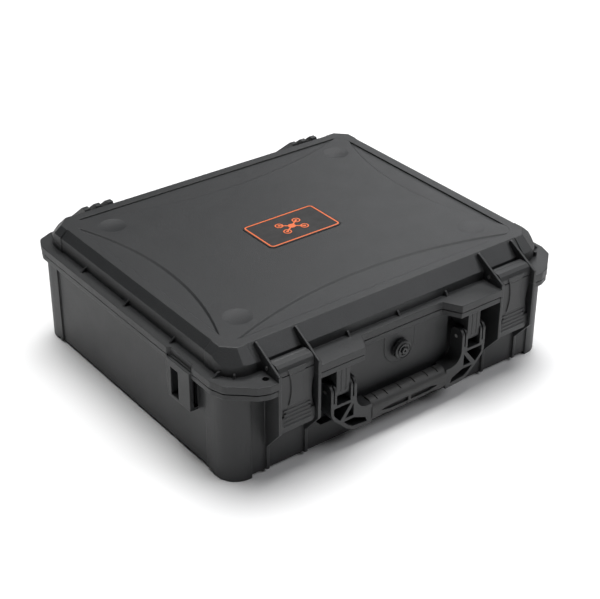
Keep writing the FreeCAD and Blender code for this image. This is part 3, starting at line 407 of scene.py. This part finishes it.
def corner_pull(x, y, z, high):
    """Draws the grid's corners in to the lid's round corners."""
    limit_x = high[0] - LID_FOAM_GAP - LID_FOAM_CORNER
    limit_y = high[1] - LID_FOAM_GAP - LID_FOAM_CORNER
    over = Vector((max(abs(x) - limit_x, 0), max(abs(y) - limit_y, 0)))
    if over.x > 0 and over.y > 0:
        square = max(over.x, over.y)
        over = over.normalized() * square
    return (math.copysign(min(abs(x), limit_x) + over.x, x),
            math.copysign(min(abs(y), limit_y) + over.y, y), z)


def extruded(form, edges):
    """Extrudes a rim, and gives its new edges and points."""
    raised = bmesh.ops.extrude_edge_only(form, edges=edges)["geom"]
    return [[part for part in raised if isinstance(part, kind)]
            for kind in (bmesh.types.BMEdge, bmesh.types.BMVert)]


def lid_foam():
    """Egg-crate foam: rows of soft peaks that point down when the lid is shut."""
    low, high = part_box("lid_foam")
    peak_gap = 1.2 * MM
    width = high[0] - low[0] - 2 * LID_FOAM_GAP
    length = high[1] - low[1] - 2 * LID_FOAM_GAP
    count_x, count_y = round(width / WAVE_STEP), round(length / WAVE_STEP)
    form = bmesh.new()
    rows = []
    for row in range(count_y + 1):
        y = (row / count_y - 0.5) * length
        line = []
        for column in range(count_x + 1):
            x = (column / count_x - 0.5) * width
            z = low[2] + peak_gap + wave_height(x, y)
            line.append(form.verts.new(corner_pull(x, y, z, high)))
        rows.append(line)
    for first, second in zip(rows, rows[1:]):
        for a, b, c, d in zip(first, first[1:], second[1:], second):
            form.faces.new((a, d, c, b))
    edges, points = extruded(form, [edge for edge in form.edges if edge.is_boundary])
    for point in points:
        point.co.z = LID_FOAM_SHOULDER
    edges, points = extruded(form, edges)
    for point in points:
        point.co.x = max(-LID_INNER_X, min(LID_INNER_X, point.co.x))
        point.co.y = max(-LID_INNER_Y, min(LID_INNER_Y, point.co.y))
    edges, points = extruded(form, edges)
    for point in points:
        point.co.z = high[2] - 0.4 * MM
    bmesh.ops.contextual_create(form, geom=edges)
    mesh = bpy.data.meshes.new("lid_foam_waves")
    form.to_mesh(mesh)
    form.free()
    waves = piece("foam_lid_waves", [mesh], "foam_dark", "lid")
    waves.data.shade_smooth()
    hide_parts("lid_foam")


# ---------------------------------------------------------------- studio

def add_camera():
    azimuth, elevation, roll = (math.radians(angle) for angle in CAMERA_ANGLES)
    back = Vector((math.sin(azimuth) * math.cos(elevation),
                   -math.cos(azimuth) * math.cos(elevation), math.sin(elevation)))
    level = Vector((math.cos(azimuth), math.sin(azimuth), 0))
    upright = back.cross(level)
    right = level * math.cos(roll) + upright * math.sin(roll)
    up = upright * math.cos(roll) - level * math.sin(roll)
    camera = bpy.data.objects.new("camera", bpy.data.cameras.new("camera"))
    camera.data.sensor_width = SENSOR_WIDTH
    camera.data.lens = FOCAL_WIDTHS * SENSOR_WIDTH
    matrix = Matrix((right, up, back)).transposed().to_4x4()
    matrix.translation = (CAMERA_TARGET + back * CAMERA_DISTANCE + right * CAMERA_RIGHT
                          + up * CAMERA_UP)
    camera.matrix_world = matrix
    bpy.context.collection.objects.link(camera)
    bpy.context.scene.camera = camera


def aimed(data, name, place, aim):
    """Puts a lamp at the place, pointing at aim."""
    lamp = bpy.data.objects.new(name, data)
    lamp.location = place
    lamp.rotation_euler = (Vector(aim) - Vector(place)).to_track_quat("-Z", "Y").to_euler()
    bpy.context.collection.objects.link(lamp)


def softbox(name, place, aim, size, power):
    data = bpy.data.lights.new(name, "AREA")
    data.shape = "RECTANGLE"
    data.size, data.size_y = size
    data.color = (0.97, 0.975, 1.0)
    data.energy = power
    aimed(data, name, place, aim)


def sun(name, place, strength, spread):
    data = bpy.data.lights.new(name, "SUN")
    data.energy = strength
    data.angle = math.radians(spread)
    aimed(data, name, place, (0, 0, 0))


def sky(bright_side, dim, bright, horizon):
    """Grey world that is dim overhead and brighter towards one side and at the horizon."""
    world = bpy.data.worlds.new("studio")
    bpy.context.scene.world = world
    world.use_nodes = True
    nodes, links = world.node_tree.nodes, world.node_tree.links
    place = nodes.new("ShaderNodeTexCoord").outputs["Generated"]

    def mapped(value, start, end, at_start, at_end):
        node = nodes.new("ShaderNodeMapRange")
        node.interpolation_type = "SMOOTHSTEP"
        for name, number in (("From Min", start), ("From Max", end), ("To Min", at_start),
                             ("To Max", at_end)):
            node.inputs[name].default_value = number
        links.new(value, node.inputs["Value"])
        return node.outputs["Result"]

    towards = nodes.new("ShaderNodeVectorMath")
    towards.operation = "DOT_PRODUCT"
    towards.inputs[1].default_value = Vector(bright_side).normalized()
    links.new(place, towards.inputs[0])
    height = nodes.new("ShaderNodeSeparateXYZ")
    links.new(place, height.inputs["Vector"])
    side = mapped(towards.outputs["Value"], start=0.25, end=0.97, at_start=dim, at_end=bright)
    band = mapped(height.outputs["Z"], start=0.16, end=0.3, at_start=horizon, at_end=0.0)
    level = nodes.new("ShaderNodeMath")
    level.operation = "MAXIMUM"
    links.new(side, level.inputs[0])
    links.new(band, level.inputs[1])
    links.new(level.outputs["Value"], nodes["Background"].inputs["Strength"])


def add_floor():
    """Plain pale paper under the case."""
    n = Nodes("floor_paper")
    paper = n.colours(n.noise(0.4, detail=3.0), (0.3, grey(0.94)), (0.7, grey(0.98)))
    material = n.connect(Base_Color=paper, Roughness=n.spread(n.noise(0.02), 0.8, 0.9),
                         Specular_IOR_Level=0.1)
    bpy.ops.mesh.primitive_plane_add(size=FLOOR_SIZE, location=(0, 0, -FLOOR_DROP))
    floor = bpy.context.object
    floor.name = "floor"
    floor.data.materials.append(material)


def studio():
    sky(bright_side=(0.72, 0.52, 0.5), dim=0.24, bright=0.5, horizon=0.95)
    sun("key", place=(0.16, 0.28, 1.4), strength=3.5, spread=44)
    softbox("right_softbox", place=(1.3, 0.95, 0.95), aim=(0.15, 0.1, 0.1), size=(0.9, 0.8),
            power=4.6)
    softbox("front_softbox", place=(1.2, -1.3, 1.6), aim=(0.0, -0.1, 0.1), size=(1.2, 0.9),
            power=13)
    add_floor()
    bpy.context.scene.view_settings.view_transform = "Standard"


dress_nodes()
base_foam()
lid_foam()
add_camera()
studio()
